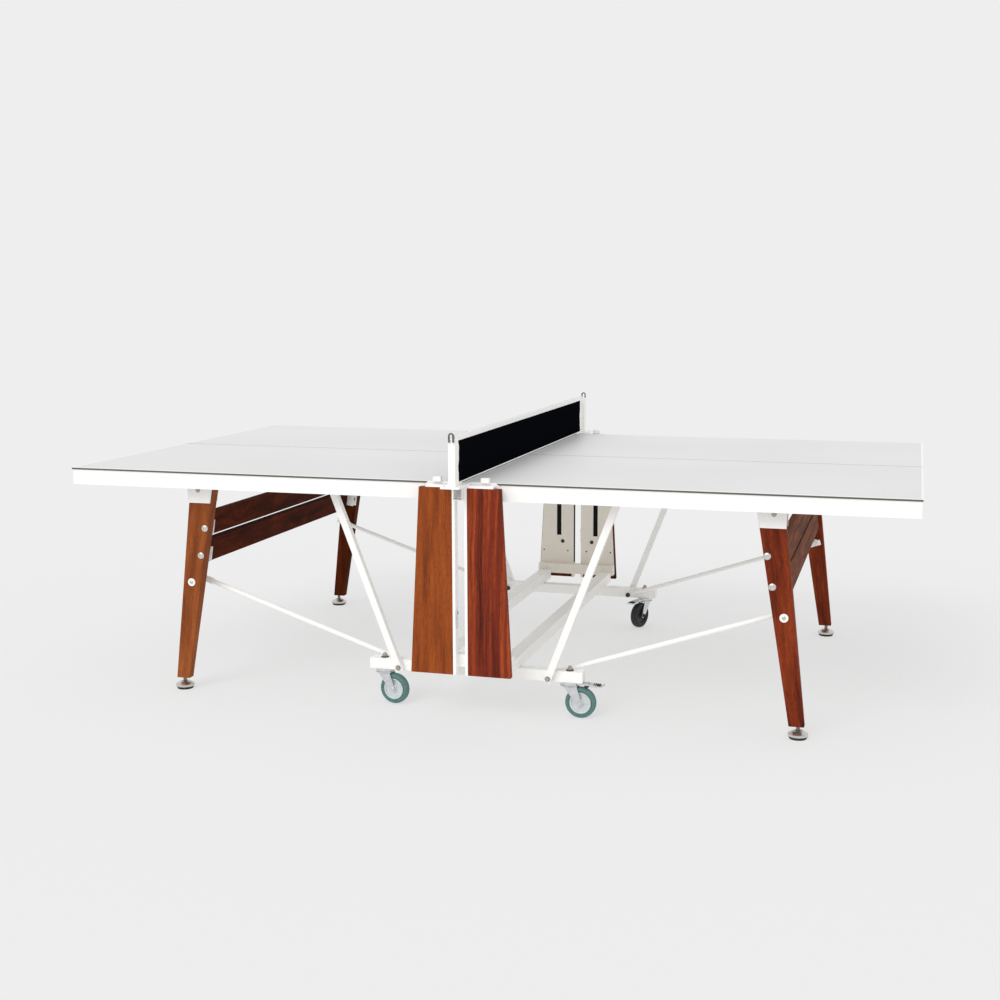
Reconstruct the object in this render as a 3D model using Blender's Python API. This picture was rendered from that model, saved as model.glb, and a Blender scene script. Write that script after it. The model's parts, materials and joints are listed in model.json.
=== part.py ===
"""A folding ping pong table with wood legs, modelled at its real size.

X runs along the table, Y across it and Z up, in metres. The origin is on the floor under
the middle of the net. Every piece is built for the right half (x > 0) and the far side
(y > 0), and the signs `side` (along X) and `end` (along Y) put it in the other quarters.
"""

import math

import bmesh
import bpy
from mathutils import Vector

# Playing top
TABLE_LENGTH = 2.740
TABLE_WIDTH = 1.525
TABLE_HEIGHT = 0.760
TOP_THICKNESS = 0.008
MIDDLE_GAP = 0.007
FIT = 0.0003  # gap between pieces that touch

# Steel frame under each half
APRON_BOTTOM = 0.7035
APRON_INSET = 0.0025
APRON_FLANGE = 0.025
SHEET = 0.002
CROSS_MEMBERS = (0.300, 0.5125, 0.770, 1.0225)
CROSS_WIDTH = 0.025
CROSS_BOTTOM = 0.718

# Fold linkage, in the plane of X and Z
SLOT_X = 0.0775
SHAFT_Z = 0.739
SHAFT_LOW_Z = 0.3415
SHAFT_RADIUS = 0.006
ROLLER_RADIUS = 0.0092
SHAFT_HEAD_RADIUS = 0.0125
OUTRIGGER_PIVOT = (0.251, 0.130)
STRUT_PIVOT = (0.475, 0.716)
LEG_PIVOT = (0.946, 0.688)
ROD_PIVOT = (0.983, 0.3745)
STRUT_SIZE = 0.022
STRUT_Y = 0.6695
ROD_RADIUS = 0.008
ROD_EYE_RADIUS = 0.011
ROD_FLAT_REACH = 0.038
ROD_TAB_REACH = 0.022
ROD_Y = 0.602

# Legs
LEG_INNER_Y = 0.640
LEG_OUTER_Y = 0.685
LEG_FOOT_INNER_Y = 0.657
LEG_BOTTOM_Z = 0.040
LEG_TAPER_TOP = 0.420
BRACKET_OUTER_X = 0.992
BRACKET_TOP = 0.7465
FOOT_X = 1.0325
FOOT_Y = 0.6655
FOOT_RADIUS = 0.031
PLANK_THICKNESS = 0.024
PLANK_HEIGHT = 0.080
PLANK_CENTRES = ((0.9685, 0.5615), (0.9785, 0.4685))
PLANK_TILT = math.radians(8)

# Carriage
BEAM_HALF_LENGTH = 0.355
BEAM_Y = 0.636
BEAM_WIDTH = 0.040
BEAM_BOTTOM = 0.1165
BEAM_TOP = 0.1515
RAIL_INNER_X = 0.105
RAIL_OUTER_X = 0.150
RAIL_TOP = 0.1895
TUBE_WALL = 0.0025

# Uprights and their wood panels
WEB_INNER_Y = 0.766
WEB_OUTER_Y = 0.769
PANEL_INNER_Y = 0.7755
PANEL_OUTER_Y = 0.795
PANEL_TOP = 0.7455
PANEL_BOTTOM = 0.155
PANEL_GAP_X = 0.0245
PANEL_TOP_X = 0.1315
PANEL_BOTTOM_X = 0.1635
GAP_BAR_X = 0.0155
WEB_TOP_X = 0.109
CHANNEL_INNER_Y = 0.738
CHANNEL_BOTTOM = 0.175
CHANNEL_TOP = 0.215
SLOT_WIDTH = 0.0190
LEVER_PIVOT = (0.785, 0.352)

# Net
POST_WIDTH = 0.022
POST_INNER_Y = 0.8345
POST_OUTER_Y = 0.865
POST_TOP = 0.900
HOOK_BOTTOM = 0.893
HOOK_TOP = 0.922
HOOK_WIDTH = 0.018
HOOK_THICKNESS = 0.005
NET_BOTTOM = 0.7625
NET_TOP = 0.9115
NET_THICKNESS = 0.003
BASE_TOP = 0.7605
BASE_BOTTOM = 0.7535
BASE_OUTER_Y = 0.886

# Castors
STEM_X = 0.313
WHEEL_RADIUS = 0.050
WHEEL_WIDTH = 0.028
TRAIL = 0.036
AXLE_RADIUS = 0.004
AXLE_CLEARANCE = 0.00008
FORK_TOP = 0.1162
FORK_PLATE_BOTTOM = 0.108
PEDAL_PIVOT = 0.067

SIDES = {"left": -1, "right": 1}
ENDS = {"near": -1, "far": 1}
CASTOR_TURNS = {
    ("left", "near"): -8,
    ("right", "near"): 0,
    ("left", "far"): 160,
    ("right", "far"): 247,
}
BRAKED = ("right",)


def linear(channel):
    channel /= 255
    return channel / 12.92 if channel <= 0.04045 else ((channel + 0.055) / 1.055) ** 2.4


def finish(name, colour, roughness, metallic=0.0):
    """A Principled material with an sRGB colour."""
    material = bpy.data.materials.new(name)
    material.use_nodes = True
    shader = material.node_tree.nodes["Principled BSDF"]
    shader.inputs["Base Color"].default_value = (*map(linear, colour), 1)
    shader.inputs["Roughness"].default_value = roughness
    shader.inputs["Metallic"].default_value = metallic
    return material


def make_finishes():
    return {
        "white": finish("white powder coat", (244, 242, 238), 0.4),
        "top": finish("grey laminate", (226, 229, 233), 0.35),
        "wood_left": finish("orange teak", (165, 85, 40), 0.5),
        "wood_right": finish("red teak", (150, 60, 40), 0.5),
        "net": finish("black net", (14, 15, 20), 0.9),
        "chrome": finish("chrome", (200, 200, 200), 0.15, 1.0),
        "zinc": finish("zinc plate", (185, 187, 188), 0.3, 1.0),
        "grey_tyre": finish("grey rubber", (110, 140, 136), 0.7),
        "black_tyre": finish("black rubber", (28, 28, 30), 0.7),
    }


def new_object(name, mesh):
    bmesh.ops.recalc_face_normals(mesh, faces=mesh.faces)
    data = bpy.data.meshes.new(name)
    mesh.to_mesh(data)
    mesh.free()
    made = bpy.data.objects.new(name, data)
    bpy.context.scene.collection.objects.link(made)
    return made


def prism(outline, axis, low, high):
    """A flat outline pushed from low to high along one axis.

    The outline's two numbers are the other two coordinates, in X, Y, Z order.
    """
    mesh = bmesh.new()
    for level in (low, high):
        for point in outline:
            spot = list(point)
            spot.insert("XYZ".index(axis), level)
            mesh.verts.new(spot)
    mesh.verts.ensure_lookup_table()
    count = len(outline)
    mesh.faces.new(mesh.verts[:count])
    mesh.faces.new(mesh.verts[count:])
    for i in range(count):
        j = (i + 1) % count
        mesh.faces.new([mesh.verts[k] for k in (i, j, count + j, count + i)])
    return new_object("solid", mesh)


def box(low, high):
    outline = [(low[0], low[1]), (high[0], low[1]), (high[0], high[1]), (low[0], high[1])]
    return prism(outline, "Z", low[2], high[2])


def disc(radius, segments, centre=(0.0, 0.0)):
    steps = [2 * math.pi * i / segments for i in range(segments)]
    return [(centre[0] + radius * math.cos(a), centre[1] + radius * math.sin(a)) for a in steps]


def turned(profile, segments, bored=False):
    """A profile of (radius, height) pairs turned about Z; bored profiles are closed loops."""
    mesh = bmesh.new()
    rings = []
    for radius, height in profile:
        ring = [mesh.verts.new((*point, height)) for point in disc(radius, segments)]
        rings.append(ring)
    pairs = list(zip(rings, rings[1:]))
    if bored:
        pairs.append((rings[-1], rings[0]))
    else:
        mesh.faces.new(rings[0])
        mesh.faces.new(rings[-1])
    for lower, upper in pairs:
        for i in range(segments):
            j = (i + 1) % segments
            mesh.faces.new((lower[i], lower[j], upper[j], upper[i]))
    return new_object("solid", mesh)


def apply_boolean(target, tool, operation):
    modifier = target.modifiers.new(operation, "BOOLEAN")
    modifier.operation = operation
    modifier.solver = "EXACT"
    modifier.object = tool
    graph = bpy.context.evaluated_depsgraph_get()
    joined = bpy.data.meshes.new_from_object(target.evaluated_get(graph))
    target.modifiers.clear()
    target.data = joined
    bpy.data.objects.remove(tool)


def solid(parts, cuts=()):
    """The union of the parts, less the cuts."""
    target = parts[0]
    for part in parts[1:]:
        apply_boolean(target, part, "UNION")
    for cut in cuts:
        apply_boolean(target, cut, "DIFFERENCE")
    return target


def mirrored(target, side, end):
    mesh = bmesh.new()
    mesh.from_mesh(target.data)
    bmesh.ops.scale(mesh, vec=(side, end, 1), verts=mesh.verts)
    if side * end < 0:
        bmesh.ops.reverse_faces(mesh, faces=mesh.faces)
    mesh.to_mesh(target.data)
    mesh.free()


def piece(name, target, material, origin=(0, 0, 0), side=1, end=1):
    """Names the solid, puts it in its quarter of the table and its origin on its joint."""
    mirrored(target, side, end)
    place = Vector((origin[0] * side, origin[1] * end, origin[2]))
    for vertex in target.data.vertices:
        vertex.co -= place
    target.location = place
    target.name = name
    target.data.name = name
    target.data.materials.clear()
    target.data.materials.append(material)
    target.data.shade_smooth()
    target.data.set_sharp_from_angle(angle=math.radians(30))
    return target


def tube(low, high, axis, wall):
    """A rectangular steel tube, open at both ends."""
    run = "XYZ".index(axis)
    inner_low = [low[i] + (0 if i == run else wall) for i in range(3)]
    inner_high = [high[i] - (0 if i == run else wall) for i in range(3)]
    inner_low[run] -= 0.01
    inner_high[run] += 0.01
    return solid([box(low, high)], [box(inner_low, inner_high)])


def tilted(target, pivot, angle):
    """Turns a solid about the line through pivot (x, z) along Y, from X towards Z."""
    cosine, sine = math.cos(angle), math.sin(angle)
    for vertex in target.data.vertices:
        x, z = vertex.co.x - pivot[0], vertex.co.z - pivot[1]
        vertex.co.x = pivot[0] + x * cosine - z * sine
        vertex.co.z = pivot[1] + x * sine + z * cosine
    return target


def make_top(finishes, side_name, side):
    low = (MIDDLE_GAP / 2, -TABLE_WIDTH / 2, TABLE_HEIGHT - TOP_THICKNESS)
    high = (TABLE_LENGTH / 2, TABLE_WIDTH / 2, TABLE_HEIGHT)
    origin = (SLOT_X, 0, SHAFT_Z)
    piece(f"top_{side_name}", box(low, high), finishes["top"], origin, side)


def make_apron(finishes, side_name, side):
    """A ring of inward channel with cross members and the strut lugs."""
    x0, x1 = MIDDLE_GAP / 2, TABLE_LENGTH / 2 - APRON_INSET
    y = TABLE_WIDTH / 2 - APRON_INSET
    z1 = TABLE_HEIGHT - TOP_THICKNESS - FIT
    ring = solid(
        [box((x0, -y, APRON_BOTTOM), (x1, y, z1))],
        [
            box(
                (x0 + APRON_FLANGE, -y + APRON_FLANGE, APRON_BOTTOM - 0.01),
                (x1 - APRON_FLANGE, y - APRON_FLANGE, z1 + 0.01),
            ),
            box((x0 + SHEET, -y + SHEET, APRON_BOTTOM + SHEET), (x1 - SHEET, y - SHEET, z1 - SHEET)),
        ],
    )
    parts = [ring]
    for x in CROSS_MEMBERS:
        reach = y - SHEET / 2
        member = box(
            (x - CROSS_WIDTH / 2, -reach, CROSS_BOTTOM), (x + CROSS_WIDTH / 2, reach, z1 - SHEET / 2)
        )
        hollow = box(
            (x - CROSS_WIDTH / 2 + SHEET, -reach + SHEET, CROSS_BOTTOM - 0.01),
            (x + CROSS_WIDTH / 2 - SHEET, reach - SHEET, z1 - 2 * SHEET),
        )
        parts.append(solid([member], [hollow]))
    lug_gap = STRUT_SIZE / 2 + 0.003
    for end in (-1, 1):
        for offset in (-lug_gap - 0.002, lug_gap + 0.002):
            y_mid = end * (STRUT_Y + offset)
            parts.append(
                box(
                    (STRUT_PIVOT[0] - 0.014, y_mid - 0.002, STRUT_PIVOT[1] - 0.014),
                    (CROSS_MEMBERS[1] - 0.005, y_mid + 0.002, z1 - 0.003),
                )
            )
    holes = []
    for end in (-1, 1):
        hole = disc(SHAFT_RADIUS + AXLE_CLEARANCE, 24, (SLOT_X, SHAFT_Z))
        holes.append(prism(hole, "Y", *sorted((end * (y + 0.01), end * (y - SHEET - 0.005)))))
    frame = solid(parts, holes)
    piece(f"apron_{side_name}", frame, finishes["white"], (SLOT_X, 0, SHAFT_Z), side)


def make_slot_shaft(finishes, side_name, side):
    """The shaft that slides down the slots: bar, rollers in the slots and retaining heads."""
    profile = []
    half = (
        (SHAFT_RADIUS, WEB_INNER_Y - 0.002),
        (ROLLER_RADIUS, WEB_INNER_Y - 0.002),
        (ROLLER_RADIUS, WEB_OUTER_Y + 0.0005),
        (SHAFT_HEAD_RADIUS, WEB_OUTER_Y + 0.0005),
        (SHAFT_HEAD_RADIUS, PANEL_INNER_Y - 0.001),
    )
    profile += [(radius, -y) for radius, y in reversed(half)]
    profile += list(half)
    shaft = turned(profile, 24)
    for vertex in shaft.data.vertices:
        x, y, z = vertex.co
        vertex.co = (x + SLOT_X, z, SHAFT_Z - y)
    piece(f"slot_shaft_{side_name}", shaft, finishes["zinc"], (SLOT_X, 0, SHAFT_Z), side)


def make_leg_bracket(finishes, side_name, side, end_name, end):
    """A folded plate that straddles the top of a leg."""
    outline = [
        (0.9045, 0.6455),
        (0.9835, 0.6455),
        (0.984, 0.690),
        (BRACKET_OUTER_X, 0.702),
        (BRACKET_OUTER_X, BRACKET_TOP),
        (0.897, BRACKET_TOP),
        (0.897, 0.690),
    ]
    plate_in, plate_out = 0.0005, 0.0045
    outer = prism(outline, "Y", LEG_OUTER_Y + plate_in, LEG_OUTER_Y + plate_out)
    inner = prism(outline, "Y", LEG_INNER_Y - plate_out, LEG_INNER_Y - plate_in)
    bridge = box(
        (0.897, LEG_INNER_Y - plate_out, BRACKET_TOP - 0.004),
        (BRACKET_OUTER_X, LEG_OUTER_Y + plate_out, BRACKET_TOP),
    )
    name = f"leg_bracket_{side_name}_{end_name}"
    piece(name, solid([outer, inner, bridge]), finishes["white"], (SLOT_X, 0, SHAFT_Z), side, end)


def make_leg(finishes, side_name, side, end_name, end):
    """A splayed leg, tapered both ways, with a rounded top that turns in its bracket."""
    outline = [
        (1.005, LEG_BOTTOM_Z),
        (1.052, LEG_BOTTOM_Z),
        (0.9764, 0.700),
        (0.970, 0.722),
        (0.955, 0.734),
        (0.925, 0.734),
        (0.905, 0.722),
        (0.8943, 0.700),
    ]
    leg = prism(outline, "Y", LEG_INNER_Y, LEG_OUTER_Y)
    for vertex in leg.data.vertices:
        if vertex.co.y < LEG_INNER_Y + 0.001 and vertex.co.z < LEG_TAPER_TOP:
            vertex.co.y = LEG_FOOT_INNER_Y
    origin = (LEG_PIVOT[0], 0, LEG_PIVOT[1])
    piece(f"leg_{side_name}_{end_name}", leg, finishes[f"wood_{side_name}"], origin, side, end)


def make_planks(finishes, side_name, side):
    for level, (x, z) in zip(("upper", "lower"), PLANK_CENTRES):
        reach = LEG_INNER_Y - FIT
        half_t, half_h = PLANK_THICKNESS / 2, PLANK_HEIGHT / 2
        plank = box((x - half_t, -reach, z - half_h), (x + half_t, reach, z + half_h))
        tilted(plank, (x, z), PLANK_TILT)
        name = f"plank_{level}_{side_name}"
        origin = (LEG_PIVOT[0], 0, LEG_PIVOT[1])
        piece(name, plank, finishes[f"wood_{side_name}"], origin, side)


def make_foot(finishes, side_name, side, end_name, end):
    """A levelling foot: pad, bell and screw stem."""
    profile = [
        (FOOT_RADIUS - 0.005, 0.0),
        (FOOT_RADIUS - 0.002, 0.007),
        (FOOT_RADIUS, 0.009),
        (FOOT_RADIUS, 0.016),
        (0.017, 0.024),
        (0.006, 0.025),
        (0.006, LEG_BOTTOM_Z - FIT),
    ]
    foot = turned(profile, 24)
    for vertex in foot.data.vertices:
        vertex.co += Vector((FOOT_X, FOOT_Y, 0))
    name = f"levelling_foot_{side_name}_{end_name}"
    piece(name, foot, finishes["chrome"], (FOOT_X, FOOT_Y, 0), side, end)


def bar_outline(start, stop, width, overhang):
    """The outline in X and Z of a flat-ended bar between two pivots."""
    run = Vector((stop[0] - start[0], stop[1] - start[1])).normalized()
    across = Vector((-run.y, run.x)) * width / 2
    first = Vector(start) - run * overhang
    last = Vector(stop) + run * overhang
    corners = (first - across, last - across, last + across, first + across)
    return [tuple(corner) for corner in corners]


def make_strut(finishes, side_name, side, end_name, end):
    """A square tube strut, pinned to the apron, whose foot sits on the outrigger bolt."""
    half = STRUT_SIZE / 2
    outer = prism(
        bar_outline(OUTRIGGER_PIVOT, STRUT_PIVOT, STRUT_SIZE, half), "Y", STRUT_Y - half, STRUT_Y + half
    )
    wall = 0.0015
    inner = prism(
        bar_outline(OUTRIGGER_PIVOT, STRUT_PIVOT, STRUT_SIZE - 2 * wall, half + 0.01),
        "Y",
        STRUT_Y - half + wall,
        STRUT_Y + half - wall,
    )
    name = f"strut_{side_name}_{end_name}"
    origin = (STRUT_PIVOT[0], STRUT_Y, STRUT_PIVOT[1])
    piece(name, solid([outer], [inner]), finishes["white"], origin, side, end)


def make_rod(finishes, side_name, side, end_name, end):
    """A round brace rod with flattened ends, pinned to the leg."""
    start, stop = Vector(OUTRIGGER_PIVOT), Vector(ROD_PIVOT)
    length = (stop - start).length
    angle = math.atan2(stop.y - start.y, stop.x - start.x)
    shank = prism(disc(ROD_RADIUS, 12), "X", 0.030, length - 0.030)
    eye = prism(disc(ROD_EYE_RADIUS, 16), "Y", -0.003, 0.003)
    flat = box((0.0, -0.003, -0.009), (ROD_FLAT_REACH, 0.003, 0.009))
    tab = box((length - ROD_FLAT_REACH, -0.003, -0.010), (length + ROD_TAB_REACH, 0.003, 0.010))
    rod = solid([shank, eye, flat, tab])
    tilted(rod, (0, 0), angle)
    for vertex in rod.data.vertices:
        vertex.co += Vector((start.x, ROD_Y, start.y))
    name = f"brace_rod_{side_name}_{end_name}"
    origin = (ROD_PIVOT[0], ROD_Y, ROD_PIVOT[1])
    piece(name, rod, finishes["white"], origin, side, end)


def make_beam(finishes, end_name, end):
    low = (-BEAM_HALF_LENGTH, BEAM_Y - BEAM_WIDTH / 2, BEAM_BOTTOM)
    high = (BEAM_HALF_LENGTH, BEAM_Y + BEAM_WIDTH / 2, BEAM_TOP)
    piece(f"cross_beam_{end_name}", tube(low, high, "X", TUBE_WALL), finishes["white"], end=end)


def make_rail(finishes, side_name, side):
    reach = CHANNEL_INNER_Y - FIT
    low = (RAIL_INNER_X, -reach, BEAM_TOP + FIT)
    high = (RAIL_OUTER_X, reach, RAIL_TOP)
    piece(f"rail_{side_name}", tube(low, high, "Y", TUBE_WALL), finishes["white"], side=side)


def panel_edge_x(z):
    """How far the outer edge of a wood panel is from the middle at height z."""
    share = (z - PANEL_BOTTOM) / (PANEL_TOP - PANEL_BOTTOM)
    return PANEL_BOTTOM_X + (PANEL_TOP_X - PANEL_BOTTOM_X) * share


def make_upright(finishes, end_name, end):
    """Two slotted webs tied by a cross channel at their foot."""
    inset = 0.004
    parts = []
    slots = []
    for side in (-1, 1):
        web = [
            (side * GAP_BAR_X, CHANNEL_BOTTOM),
            (side * (panel_edge_x(CHANNEL_BOTTOM) - inset), CHANNEL_BOTTOM),
            (side * (panel_edge_x(PANEL_TOP) - inset), PANEL_TOP),
            (side * WEB_TOP_X, BASE_TOP),
            (side * GAP_BAR_X, BASE_TOP),
        ]
        parts.append(prism(web, "Y", WEB_INNER_Y, WEB_OUTER_Y))
        lip = [
            (side * (panel_edge_x(CHANNEL_BOTTOM) - inset - 0.003), CHANNEL_BOTTOM),
            (side * (panel_edge_x(CHANNEL_BOTTOM) - inset), CHANNEL_BOTTOM),
            (side * (panel_edge_x(PANEL_TOP) - inset), PANEL_TOP),
            (side * (panel_edge_x(PANEL_TOP) - inset - 0.003), PANEL_TOP),
        ]
        parts.append(prism(lip, "Y", WEB_OUTER_Y - 0.001, PANEL_INNER_Y - FIT))
        bar = sorted((side * GAP_BAR_X, side * (PANEL_GAP_X - FIT)))
        parts.append(
            box(
                (bar[0], WEB_OUTER_Y - 0.001, PANEL_BOTTOM),
                (bar[1], PANEL_OUTER_Y - FIT, BASE_BOTTOM - FIT),
            )
        )
        flange = sorted((side * GAP_BAR_X, side * WEB_TOP_X))
        parts.append(
            box(
                (flange[0], PANEL_INNER_Y - FIT, PANEL_TOP + FIT),
                (flange[1], PANEL_OUTER_Y - FIT, BASE_BOTTOM - FIT),
            )
        )
        half = SLOT_WIDTH / 2
        slots.append(
            box(
                (side * SLOT_X - half, WEB_INNER_Y - 0.01, SHAFT_LOW_Z - half),
                (side * SLOT_X + half, WEB_OUTER_Y + 0.002, SHAFT_Z + half),
            )
        )
    edge = panel_edge_x(CHANNEL_BOTTOM) - inset
    channel = box((-edge, CHANNEL_INNER_Y, CHANNEL_BOTTOM), (edge, WEB_OUTER_Y - 0.001, CHANNEL_TOP))
    pocket = box(
        (-edge + 0.003, CHANNEL_INNER_Y + 0.003, CHANNEL_BOTTOM - 0.01),
        (edge - 0.003, WEB_INNER_Y - 0.001, CHANNEL_TOP - 0.003),
    )
    upright = solid([*parts, solid([channel], [pocket])], slots)
    piece(f"upright_{end_name}", upright, finishes["white"], end=end)


def make_panel(finishes, side_name, side, end_name, end):
    outline = [
        (PANEL_GAP_X, PANEL_BOTTOM),
        (PANEL_BOTTOM_X, PANEL_BOTTOM),
        (PANEL_TOP_X, PANEL_TOP),
        (PANEL_GAP_X, PANEL_TOP),
    ]
    panel = prism(outline, "Y", PANEL_INNER_Y, PANEL_OUTER_Y)
    name = f"wood_panel_{side_name}_{end_name}"
    piece(name, panel, finishes[f"wood_{side_name}"], side=side, end=end)


def make_net_base(finishes, end_name, end):
    """The plate under a net post, with the square socket that hangs between the panels."""
    plate = box((-0.030, WEB_OUTER_Y + FIT, BASE_BOTTOM), (0.030, BASE_OUTER_Y, BASE_TOP))
    half = GAP_BAR_X - FIT
    socket = tube((-half, 0.776, 0.709), (half, 0.812, BASE_BOTTOM + 0.001), "Y", 0.002)
    piece(f"net_base_{end_name}", solid([plate, socket]), finishes["white"], end=end)


def make_net_post(finishes, end_name, end):
    half = POST_WIDTH / 2
    post = box((-half, POST_INNER_Y, BASE_TOP + FIT), (half, POST_OUTER_Y, POST_TOP))
    piece(f"net_post_{end_name}", post, finishes["white"], end=end)


def make_net_hook(finishes, end_name, end):
    """An upside-down U of flat steel on the outer face of the post, which holds the net's cord."""
    half = HOOK_WIDTH / 2
    low, high = POST_OUTER_Y + FIT, POST_OUTER_Y + FIT + HOOK_THICKNESS
    crown = HOOK_TOP - half
    arch = prism(disc(half, 20, (0.0, crown)), "Y", low, high)
    stem = box((-half, low, HOOK_BOTTOM), (half, high, crown))
    eye = prism(disc(half / 2, 16, (0.0, crown)), "Y", low - 0.01, high + 0.01)
    slot = box((-half / 2, low - 0.01, HOOK_BOTTOM - 0.01), (half / 2, high + 0.01, crown))
    hook = solid([arch, stem], [eye, slot])
    piece(f"net_hook_{end_name}", hook, finishes["chrome"], end=end)


def make_net(finishes):
    reach = POST_INNER_Y - FIT
    half = NET_THICKNESS / 2
    net = box((-half, -reach, NET_BOTTOM), (half, reach, NET_TOP - 0.001))
    piece("net", net, finishes["net"])


def make_lock_lever(finishes, name, side, end):
    """A small lever that hangs from a screw in the gap-side face of an upright."""
    low_x, high_x = GAP_BAR_X - 0.005, GAP_BAR_X - FIT
    eye = prism(disc(0.007, 12, LEVER_PIVOT), "X", low_x, high_x)
    y, z = LEVER_PIVOT
    arm = box((low_x, y - 0.004, z - 0.050), (high_x, y + 0.004, z))
    origin = (GAP_BAR_X, y, z)
    piece(name, solid([eye, arm]), finishes["zinc"], origin, side, end)


def turn_about_stem(target, side, end, degrees):
    """Turns a castor piece, built with its trail along +X, and moves it to its stem."""
    angle = math.radians(degrees)
    cosine, sine = math.cos(angle), math.sin(angle)
    for vertex in target.data.vertices:
        x, y = vertex.co.x, vertex.co.y
        vertex.co.x = side * STEM_X + x * cosine - y * sine
        vertex.co.y = end * BEAM_Y + x * sine + y * cosine
    return target


def castor_point(side, end, degrees, reach, height):
    angle = math.radians(degrees)
    x = side * STEM_X + reach * math.cos(angle)
    y = end * BEAM_Y + reach * math.sin(angle)
    return (x, y, height)


def make_fork(braked):
    """A top plate, two cheeks that taper down to the axle, and the axle itself."""
    inner_y, outer_y = WHEEL_WIDTH / 2 + 0.002, WHEEL_WIDTH / 2 + 0.0045
    plate = prism(disc(0.029, 20), "Z", FORK_PLATE_BOTTOM, FORK_TOP)
    cheek = [
        (-0.022, FORK_PLATE_BOTTOM + 0.002),
        (TRAIL - 0.009, WHEEL_RADIUS - 0.006),
        (TRAIL, WHEEL_RADIUS - 0.010),
        (TRAIL + 0.009, WHEEL_RADIUS - 0.006),
        (0.024, FORK_PLATE_BOTTOM + 0.002),
    ]
    parts = [plate]
    for sign in (-1, 1):
        parts.append(prism(cheek, "Y", *sorted((sign * inner_y, sign * outer_y))))
    axle = disc(AXLE_RADIUS, 16, (TRAIL, WHEEL_RADIUS))
    parts.append(prism(axle, "Y", -outer_y - 0.003, outer_y + 0.003))
    if braked:
        parts.append(box((0.0, -0.011, FORK_PLATE_BOTTOM), (PEDAL_PIVOT - 0.003, 0.011, FORK_TOP - 0.002)))
    return solid(parts)


def make_wheel():
    """Tyre and hub in one: the rim profile is turned about the axle."""
    bore = AXLE_RADIUS + AXLE_CLEARANCE + 0.00004
    half = WHEEL_WIDTH / 2
    profile = [
        (bore, -half),
        (0.012, -half),
        (0.014, -half + 0.005),
        (0.034, -half + 0.005),
        (0.036, -half),
        (WHEEL_RADIUS - 0.006, -half),
        (WHEEL_RADIUS, -half + 0.007),
        (WHEEL_RADIUS, half - 0.007),
        (WHEEL_RADIUS - 0.006, half),
        (0.036, half),
        (0.034, half - 0.005),
        (0.014, half - 0.005),
        (0.012, half),
        (bore, half),
    ]
    wheel = turned(profile, 32, bored=True)
    for vertex in wheel.data.vertices:
        x, y, z = vertex.co
        vertex.co = (TRAIL + x, z, WHEEL_RADIUS + y)
    mesh = bmesh.new()
    mesh.from_mesh(wheel.data)
    bmesh.ops.recalc_face_normals(mesh, faces=mesh.faces)
    mesh.to_mesh(wheel.data)
    mesh.free()
    return wheel


def make_pedal():
    """A foot pedal that bends up a little at its tip."""
    outline = [
        (PEDAL_PIVOT - 0.002, 0.1045),
        (0.104, 0.1045),
        (0.112, 0.1085),
        (0.112, 0.1125),
        (0.102, 0.1085),
        (PEDAL_PIVOT - 0.002, 0.1135),
    ]
    return prism(outline, "Y", -0.013, 0.013)


def make_castor(finishes, side_name, side, end_name, end):
    degrees = CASTOR_TURNS[side_name, end_name]
    braked = side_name in BRAKED
    where = f"{side_name}_{end_name}"
    tyre = finishes["grey_tyre" if end_name == "near" else "black_tyre"]
    fork = turn_about_stem(make_fork(braked), side, end, degrees)
    piece(f"castor_fork_{where}", fork, finishes["zinc"], (side * STEM_X, end * BEAM_Y, FORK_TOP))
    wheel = turn_about_stem(make_wheel(), side, end, degrees)
    hub = castor_point(side, end, degrees, TRAIL, WHEEL_RADIUS)
    piece(f"castor_wheel_{where}", wheel, tyre, hub)
    if braked:
        pedal = turn_about_stem(make_pedal(), side, end, degrees)
        pivot = castor_point(side, end, degrees, PEDAL_PIVOT, 0.109)
        piece(f"brake_pedal_{where}", pedal, finishes["zinc"], pivot)


def main():
    for old in list(bpy.data.objects):
        bpy.data.objects.remove(old)
    finishes = make_finishes()
    for side_name, side in SIDES.items():
        make_top(finishes, side_name, side)
        make_apron(finishes, side_name, side)
        make_slot_shaft(finishes, side_name, side)
        make_planks(finishes, side_name, side)
        make_rail(finishes, side_name, side)
    for end_name, end in ENDS.items():
        make_beam(finishes, end_name, end)
        make_upright(finishes, end_name, end)
        make_net_base(finishes, end_name, end)
        make_net_post(finishes, end_name, end)
        make_net_hook(finishes, end_name, end)
    for side_name, side in SIDES.items():
        for end_name, end in ENDS.items():
            quarter = (finishes, side_name, side, end_name, end)
            make_leg_bracket(*quarter)
            make_leg(*quarter)
            make_foot(*quarter)
            make_strut(*quarter)
            make_rod(*quarter)
            make_panel(*quarter)
            make_castor(*quarter)
    make_net(finishes)
    make_lock_lever(finishes, "lock_lever_near", -1, -1)
    make_lock_lever(finishes, "lock_lever_far", 1, 1)


main()
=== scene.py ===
import json
import math

import bpy
from mathutils import Matrix, Vector


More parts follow.
